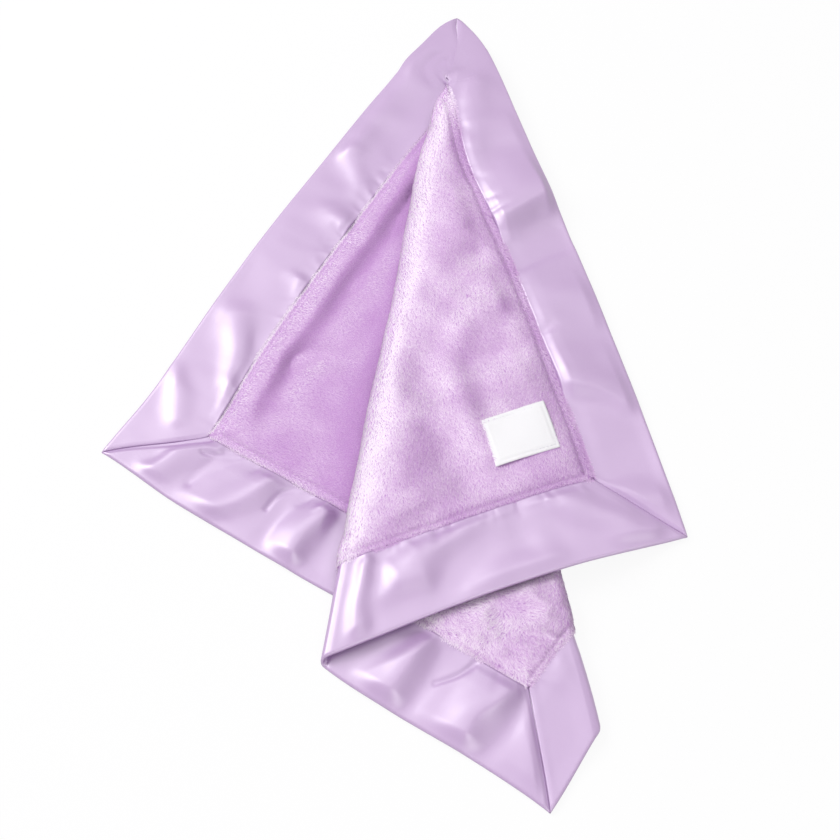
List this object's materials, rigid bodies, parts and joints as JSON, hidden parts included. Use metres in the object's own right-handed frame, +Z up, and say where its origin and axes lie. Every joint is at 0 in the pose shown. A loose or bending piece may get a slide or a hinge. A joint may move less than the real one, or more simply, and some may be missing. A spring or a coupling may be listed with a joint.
{
  "type": "comfort blanket",
  "caption": "Small square plush comfort blanket with a wide mitred satin border and a sewn-on woven label, laid flat in a single knife pleat.",
  "frame": {"origin": "centre of the laid blanket's bounding box, on the surface it rests on", "axes": "+Z up from the resting surface, +Y towards the far corner where the pleat starts, +X towards the side with the label"},
  "size_m": [0.3336, 0.521, 0.0206],
  "materials": {
    "plush": "deep soft pile, matt",
    "satin": "glossy satin weave",
    "label": "plain woven, matt",
    "thread": "sewing thread",
    "label_thread": "sewing thread"
  },
  "bodies": {
    "root": {"plush_front": "plush", "plush_back": "plush", "satin_upper_left": "satin", "satin_upper_right": "satin", "satin_lower_right": "satin", "satin_lower_left": "satin", "label": "label", "label_stitching": "label_thread", "topstitching_front": "thread", "topstitching_back": "thread"}
  },
  "joints": []
}
